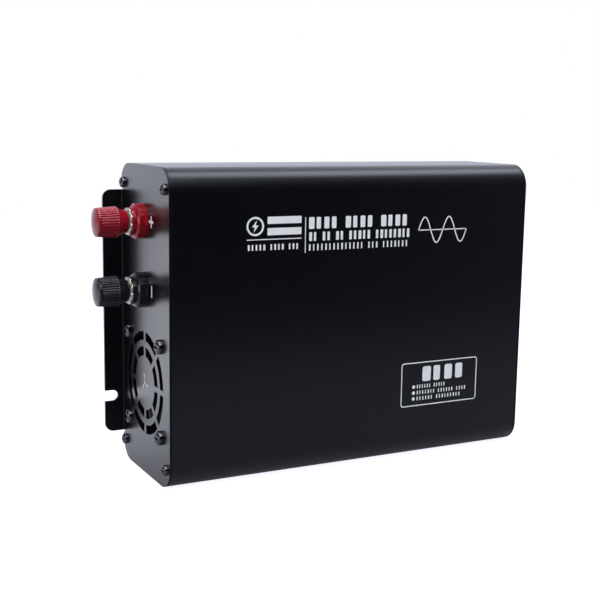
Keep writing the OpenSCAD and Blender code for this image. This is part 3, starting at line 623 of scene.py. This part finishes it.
def make_cans(node):
    """Electrolytic capacitors: shrink sleeves with a crimp and a lip, and metal tops whose vent cross is
    painted shade: thin dark slabs instead of a cut groove.
    """
    sleeves, tops = bmesh.new(), bmesh.new()
    for low, high in solids(node):
        r, length = (high.x - low.x) / 2, high.y - low.y
        middle = Vector(((low.x + high.x) / 2, high.y, (low.z + high.z) / 2))
        lid_r, crimp, crimp_half, sunk = r - 1.9 * MM, 2.9 * MM, 0.7 * MM, 0.7 * MM
        sleeve = rounded([(0, 0), (0, r), (crimp - crimp_half, r), (crimp, r - 0.7 * MM),
                          (crimp + crimp_half, r), (length, r), (length, lid_r), (length - sunk, lid_r),
                          (length - sunk, 0)],
                         [0, 0.5 * MM, 0.4 * MM, 0.4 * MM, 0.4 * MM, 0.7 * MM, 0.3 * MM, 0, 0])
        foot, lid = length - 0.8 * MM, length - 0.4 * MM
        top = [(foot, 0), (foot, lid_r), (lid, lid_r), (lid, 0)]
        stand = Matrix.Translation(middle) @ Matrix.Rotation(math.pi / 2, 4, "Z")
        for target, stations in ((sleeves, sleeve), (tops, top)):
            part = lathe(stations, (0, 0, 0), 64)
            part.transform(stand)
            mesh = bpy.data.meshes.new("part")
            part.to_mesh(mesh)
            part.free()
            target.from_mesh(mesh)
            bpy.data.meshes.remove(mesh)
    piece(node + "_sleeves", sleeves, "root", SLOT_OF[node], [node])
    piece(node + "_tops", tops, "root", "bar_aluminium")
    for i, (low, high) in enumerate(solids(node)):
        # painted shade: the vent cross is not cut; thin black slabs on each top stand in for the shade
        # inside its groove
        groove_shade = Face(((low.x + high.x) / 2, low.y + 0.4 * MM, (low.z + high.z) / 2), (1, 0, 0), (0, 0, 1))
        reach, half = (high.x - low.x) / MM * 0.3, 0.25
        groove_shade.bar(-reach, reach, -half, half, 0.1)
        groove_shade.bar(-half, half, half, reach, 0.1)
        groove_shade.bar(-half, half, -reach, -half, 0.1)
        groove_shade.done(f"{node}_vent_groove_shade_{i + 1}", LOOKS["package_black"])


# ---------------------------------------------------------------- printed marks

PRINT_THICK = 0.04 * MM


class Face:
    """A flat face that carries print: across and up run over it in millimetres, out points away from it."""

    def __init__(self, origin, across, up, body="root"):
        self.origin, self.across, self.up = Vector(origin), Vector(across), Vector(up)
        self.out = self.across.cross(self.up)
        self.body = body
        self.bm = bmesh.new()

    def vert(self, x, z, height):
        """A vertex at a place on the face, raised from it by height in metres."""
        return self.bm.verts.new(self.origin + (self.across * x + self.up * z) * MM + self.out * height)

    def slab(self, outline):
        """A thin slab with the given outline."""
        top = [self.vert(x, z, PRINT_THICK) for x, z in outline]
        foot = [self.vert(x, z, 0) for x, z in outline]
        prism(self.bm, foot, top)

    def bar(self, x0, x1, z0, z1, corner=0.3):
        """A rectangle with rounded corners."""
        self.slab(round_corners([(x0, z0), (x1, z0), (x1, z1), (x0, z1)], corner))

    def disc(self, x, z, r):
        """A filled circle."""
        self.slab(circle(x, z, r))

    def stroke(self, points, width, closed=False):
        """A line of even width through the points."""
        points = [Vector(p) for p in points]
        count = len(points)
        edges = []
        for i, here in enumerate(points):
            before = points[i - 1] if i or closed else here
            after = points[(i + 1) % count] if i < count - 1 or closed else here
            ahead = (after - before).normalized()
            side = Vector((-ahead.y, ahead.x)) * width / 2
            edges.append([self.vert(*(here + side), PRINT_THICK), self.vert(*(here - side), PRINT_THICK),
                          self.vert(*(here - side), 0), self.vert(*(here + side), 0)])
        for a, b in zip(edges, edges[1:] + (edges[:1] if closed else [])):
            for k in range(4):
                m = (k + 1) % 4
                self.bm.faces.new([a[k], b[k], b[m], a[m]])
        if not closed:
            self.bm.faces.new(edges[0][::-1])
            self.bm.faces.new(edges[-1])

    def words(self, x0, x1, z0, z1, counts, fill=0.7):
        """A line of plain upright slabs in groups, which stands for a line of print."""
        gap, widths = 0.85, (1, 0.78, 0.92, 0.85)
        pitch = (x1 - x0) / (sum(counts) + gap * (len(counts) - 1))
        x, mark = x0, 0
        for count in counts:
            for _ in range(count):
                width = pitch * fill * widths[mark % len(widths)]
                self.bar(x, x + width, z0, z1, 0.25 * width)
                x += pitch
                mark += 1
            x += gap * pitch

    def done(self, name, look=PRINT):
        """Makes one piece of everything drawn so far."""
        piece(name, self.bm, self.body, None, look=look)


def print_front():
    """The printed face: an emblem, three lines of plain slabs, a sine wave and a framed rating block.

    Places are in millimetres across from the middle of the case and up from its resting face.
    """
    face = Face((0, FRONT, 0), (1, 0, 0), (0, 0, 1))
    # emblem: a ring with a bolt, two heavy bars, and a line of small slabs under a rule
    ring_x, ring_z, ring_r = -65.7, 140.8, 4.6
    face.stroke(circle(ring_x, ring_z, ring_r, 48), 1.1, closed=True)
    bolt = [(0.9, 3.2), (-2.0, -0.4), (-0.3, -0.4), (-0.9, -3.2), (2.0, 0.5), (0.3, 0.5)]
    face.slab([(ring_x + x, ring_z + z) for x, z in bolt])
    for bar_z in (135.8, 141.9):
        face.bar(-58.5, -38.0, bar_z, bar_z + 3.9)
    face.bar(-70.6, -37.9, 133.4, 133.9, 0.1)
    face.words(-70.0, -38.7, 127.8, 131.0, (5, 4, 3), 0.5)
    # three lines of print, to the right of an upright rule
    face.bar(-35.75, -35.25, 125.4, 144.9, 0.1)
    face.words(-33.4, 31.6, 138.4, 144.9, (4, 4, 4), 0.72)
    face.words(-33.2, 33.0, 131.8, 136.7, (2, 2, 2, 5, 8), 0.62)
    face.words(-33.2, 32.0, 126.5, 130.1, (14, 3, 7), 0.40)
    # two periods of a sine wave on its axis
    wave_x0, wave_x1, axis_z, swing, steps = 38.0, 71.5, 135.4, 7.4, 96
    wave = []
    for i in range(steps + 1):
        t = i / steps
        wave.append((wave_x0 + (wave_x1 - wave_x0) * t, axis_z + swing * math.sin(4 * math.pi * t)))
    face.stroke(wave, 0.75)
    face.bar(wave_x0, wave_x1, axis_z - 0.3, axis_z + 0.3, 0.1)
    # rating block: a frame with a large line and three small ones that start with a dot
    frame_outline = round_corners([(29.6, 31.4), (82.8, 31.4), (82.8, 57.2), (29.6, 57.2)], 1.6)
    face.stroke(frame_outline, 0.6, closed=True)
    face.words(44.0, 75.2, 45.6, 54.6, (4,), 0.76)
    for z, end, counts in ((42.7, 61.0, (6, 5)), (39.1, 76.3, (7, 6, 4)), (35.5, 72.4, (6, 9))):
        face.disc(38.1, z, 1.05)
        face.words(40.4, end, z - 1.1, z + 1.2, counts, 0.42)
    face.done("front_print")


def print_terminal_end():
    """Plus and minus signs beside the terminals, and a small fan sign on the middle of the grille.

    The signs are turned to be read with the case on its end, so the minus sign stands upright.
    """
    face = Face((FACE_LEFT, 0, 0), (0, -1, 0), (0, 0, 1))
    mark_x, half, stroke_half = 11.8, 3.2, 0.75
    for colour in ("red", "black"):
        z = terminal_axis(colour).z / MM + 0.6
        face.bar(mark_x - stroke_half, mark_x + stroke_half, z - half, z + half, 0.1)
        if colour == "red":
            for side in (-1, 1):
                near, far = sorted((mark_x + side * stroke_half, mark_x + side * half))
                face.bar(near, far, z - stroke_half, z + stroke_half, 0.1)
    low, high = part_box("fan_rotor")
    middle = (low + high) / 2 / MM
    face.disc(-middle.y, middle.z, 0.8)
    hub_r, blade_reach, steps = 1.2, 3.4, 16
    leading, trailing = [], []
    for i in range(steps + 1):
        t = i / steps
        bend = math.sin(math.pi * t / 2)
        leading.append((hub_r + blade_reach * bend, 0.35 + 2.1 * t))
        trailing.append((hub_r + blade_reach * bend ** 3, 0.1 + 0.4 * t))
    blade = leading + trailing[::-1]
    for i in range(3):
        angle = math.radians(90 + 120 * i)
        face.slab([(-middle.y + x * math.cos(angle) - z * math.sin(angle),
                    middle.z + x * math.sin(angle) + z * math.cos(angle)) for x, z in blade])
    face.done("terminal_end_print")


def print_outlet_end():
    """A mains wave over the outlet, an earth sign by its screw, and slabs over the switch and the port."""
    face = Face((FACE_RIGHT, 0, 0), (0, 1, 0), (0, 0, 1))
    wave_z, wave_steps, swing = 124.5, 9, 1.3
    face.stroke([(i - wave_steps / 2, wave_z + swing * math.sin(2 * math.pi * i / wave_steps))
                 for i in range(wave_steps + 1)], 0.6)
    low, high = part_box("earth_screw")
    earth_y, earth_z = (low.y + high.y) / 2 / MM, low.z / MM - 2.5
    face.bar(earth_y - 0.3, earth_y + 0.3, earth_z - 2, earth_z, 0.05)
    for i in range(3):
        half = 2.6 - 0.9 * i
        face.bar(earth_y - half, earth_y + half, earth_z - 2.6 - 1.2 * i, earth_z - 2.0 - 1.2 * i, 0.05)
    for node, counts in (("rocker_housing", (2, 3)), ("usb_shell", (5,))):
        low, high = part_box(node)
        middle = (low.y + high.y) / 2 / MM
        face.words(middle - 5, middle + 5, high.z / MM + 1.8, high.z / MM + 3.6, counts, 0.55)
    face.done("outlet_end_print")


def mark_rocker():
    """A bar on the upper half of the rocker and a ring on the lower half."""
    faces = frame["nodes"]["rocker_button"].data.polygons
    fronts = [face for face in faces if face.normal.x > 0.9 and face.area > 10 * MM * MM]
    middle_z = sum(face.center.z for face in fronts) / len(fronts)
    for name, side in (("rocker_bar", 1), ("rocker_ring", -1)):
        half = [face for face in fronts if side * (face.center.z - middle_z) > 0]
        centre = sum((face.center for face in half), Vector()) / len(half)
        across = Vector((0, 1, 0))
        up = half[0].normal.cross(across).normalized()
        mark = Face(centre, across, up, body_of("rocker_button"))
        if side > 0:
            mark.bar(-0.35, 0.35, -1.7, 1.7, 0.1)
        else:
            mark.stroke(circle(0, 0, 1.5), 0.6, closed=True)
        mark.done(name)


def make_display():
    """The switched-off display behind its window: a pale panel with the ghosts of its segments."""
    low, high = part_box("display_module")
    middle_y, middle_z = (low.y + high.y) / 2, (low.z + high.z) / 2
    half_width, half_height = 19.3, 9.3
    back = Face((high.x, middle_y, middle_z), (0, 1, 0), (0, 0, 1))
    back.bar(-half_width, half_width, -half_height, half_height, 0.5)
    back.done("display_panel", LCD_BACK)
    front = Face((high.x + PRINT_THICK, middle_y, middle_z), (0, 1, 0), (0, 0, 1))
    digit_w, digit_h, bar, gap = 4.2, 7.0, 0.7, 0.49
    for row_z in (1.0, -8.0):
        for x in (-10.5, -5.0, 0.5, 6.0):
            for level in range(3):
                z = row_z + level * (digit_h - bar) / 2
                front.bar(x + gap, x + digit_w - gap, z, z + bar, 0.1)
            for side in (x, x + digit_w - bar):
                for z in (row_z, row_z + digit_h / 2):
                    front.bar(side, side + bar, z + gap, z + digit_h / 2 - gap, 0.1)
    # a column of plain labels at the left and a rising scale at the right
    for i in range(6):
        z = -7.6 + 2.6 * i
        front.bar(-16.5, -13.0, z, z + 1.6, 0.2)
        front.bar(13.5, 14.5 + 0.6 * i, z, z + 1.6, 0.2)
    front.done("display_segments", LCD_SEGMENT)


# ---------------------------------------------------------------- the assembly

# width of the rounding on each node's edges, in millimetres
BEVELS = {
    "case_shell": 0.12, "terminal_end_panel": 0.25, "output_end_panel": 0.25,
    "terminal_panel_screws": 0.12, "output_panel_screws": 0.12, "fan_screws": 0.15, "earth_screw": 0.15,
    "fan_frame": 0.3, "outlet_body": 0.35, "outlet_contacts": 0.15, "rocker_housing": 0.25,
    "rocker_button": 0.35, "usb_shell": 0.08, "usb_tongue": 0.12, "display_bezel": 0.3,
    "display_window": 0.1, "fan_nuts": 0.25, "earth_nut": 0.25, "red_nut": 0.35, "black_nut": 0.35,
    "red_lug": 0.1, "black_lug": 0.1, "red_bush": 0.3, "black_bush": 0.3, "fan_stator": 0.3,
    "transformer_cores": 0.4, "inductor_core": 0.5, "film_capacitor": 0.8, "fuse_holders": 0.3,
    "blade_fuses": 0.15, "dc_transistors": 0.15, "ac_transistors": 0.15, "clamp_bars": 0.3, "buzzer": 0.4,
}
for node_name, width in BEVELS.items():
    fine = refined(node_name, width * MM)
    if SLOT_OF[node_name] == "panel_coat":
        coat_edges(fine)
for colour in ("red", "black"):
    make_knob(colour)
    make_collar(colour)
    make_washer(colour)
    make_thread(colour)
make_rotor()
make_inductor()
make_transformer_windings()
make_cans("input_capacitors")
make_cans("bus_capacitor")
print_front()
print_terminal_end()
print_outlet_end()
mark_rocker()
make_display()


# ---------------------------------------------------------------- floor and light

def make_floor():
    """A glowing white table, as used for product shots: bright behind the case and dimmer in front of it.

    It ends a little way in front of the case, so that the printed face mirrors the dark beyond.
    The camera itself sees it at full brightness everywhere.
    """
    reach, edge = 1.6, FRONT - 0.28
    dim_y, bright_y = FRONT - 30 * MM, FRONT + 230 * MM
    dim_glow, bright_glow, glow_color = 0.10, 0.98, (0.92, 0.93, 1.0, 1.0)
    corners = [(-reach, edge), (reach, edge), (reach, reach), (-reach, reach)]
    mesh = bpy.data.meshes.new("floor")
    mesh.from_pydata([(x, y, 0) for x, y in corners], [], [(0, 1, 2, 3)])
    floor = bpy.data.objects.new("floor", mesh)
    floor.location.z = cad_box[0].z
    table = material("pale_floor", (0.22, 0.225, 0.255), 0.6, tone=0.01, patch=400 * MM)
    tree = table.node_tree
    shader = tree.nodes["Principled BSDF"]
    across = tree.nodes.new("ShaderNodeSeparateXYZ")
    link(tree, tree.nodes.new("ShaderNodeTexCoord").outputs["Object"], across.inputs["Vector"])
    behind = ranged(tree, across.outputs["Y"], (dim_y, bright_y), (dim_glow, bright_glow))
    seen = tree.nodes.new("ShaderNodeMix")
    link(tree, tree.nodes.new("ShaderNodeLightPath").outputs["Is Camera Ray"], seen.inputs["Factor"])
    link(tree, behind, seen.inputs["A"])
    seen.inputs["B"].default_value = 1.0
    shader.inputs["Emission Color"].default_value = glow_color
    link(tree, seen.outputs["Result"], shader.inputs["Emission Strength"])
    mesh.materials.append(table)
    bpy.context.scene.collection.objects.link(floor)


def make_world():
    """White behind the case and to its right, dark in front of it, as in a small studio."""
    lit_side = Vector((0.60, 0.80, 0.0))
    dark_wall, white_wall = (0.005, 0.008, 0.015), (1.24, 1.27, 1.50)
    world = bpy.data.worlds.new("studio")
    bpy.context.scene.world = world
    world.use_nodes = True
    tree = world.node_tree
    background = tree.nodes["Background"]
    direction = tree.nodes.new("ShaderNodeTexCoord").outputs["Generated"]
    facing = tree.nodes.new("ShaderNodeVectorMath")
    facing.operation = "DOT_PRODUCT"
    facing.inputs[1].default_value = lit_side
    link(tree, direction, facing.inputs[0])
    away = ranged(tree, facing.outputs["Value"], (-0.50, 1.00), (0, 1), "SMOOTHSTEP")
    lit = mixed(tree, away, dark_wall, white_wall)
    seen = tree.nodes.new("ShaderNodeLightPath").outputs["Is Camera Ray"]
    link(tree, mixed(tree, seen, lit, (1.0, 1.0, 1.0)), background.inputs["Color"])


def area_light(name, place, target, width, depth, radiance, color):
    """A softbox of the given size and radiance that faces its target and that the camera doesn't see."""
    data = bpy.data.lights.new(name, "AREA")
    data.shape = "RECTANGLE"
    data.size = width
    data.size_y = depth
    data.energy = radiance * math.pi * width * depth
    data.color = color
    lamp = bpy.data.objects.new(name, data)
    lamp.location = place
    lamp.visible_camera = False
    lamp.rotation_mode = "QUATERNION"
    lamp.rotation_quaternion = (Vector(target) - Vector(place)).to_track_quat("-Z", "Y")
    bpy.context.scene.collection.objects.link(lamp)


make_floor()
make_world()
area_light("top_softbox", (0.15, -0.06, 0.95), (0.15, -0.06, 0), 1.3, 0.4, 5.8, (0.81, 0.86, 1.0))
area_light("front_fill", (-0.20, -0.76, 1.17), (0, FRONT, 0.09), 0.6, 0.6, 11.5, (0.90, 0.93, 1.0))
area_light("left_softbox", (-1.06, -0.24, 0.22), (FACE_LEFT, FRONT, 0.10), 0.5, 0.5, 3.2, (0.94, 0.96, 1.0))
bpy.context.scene.view_settings.view_transform = "Standard"
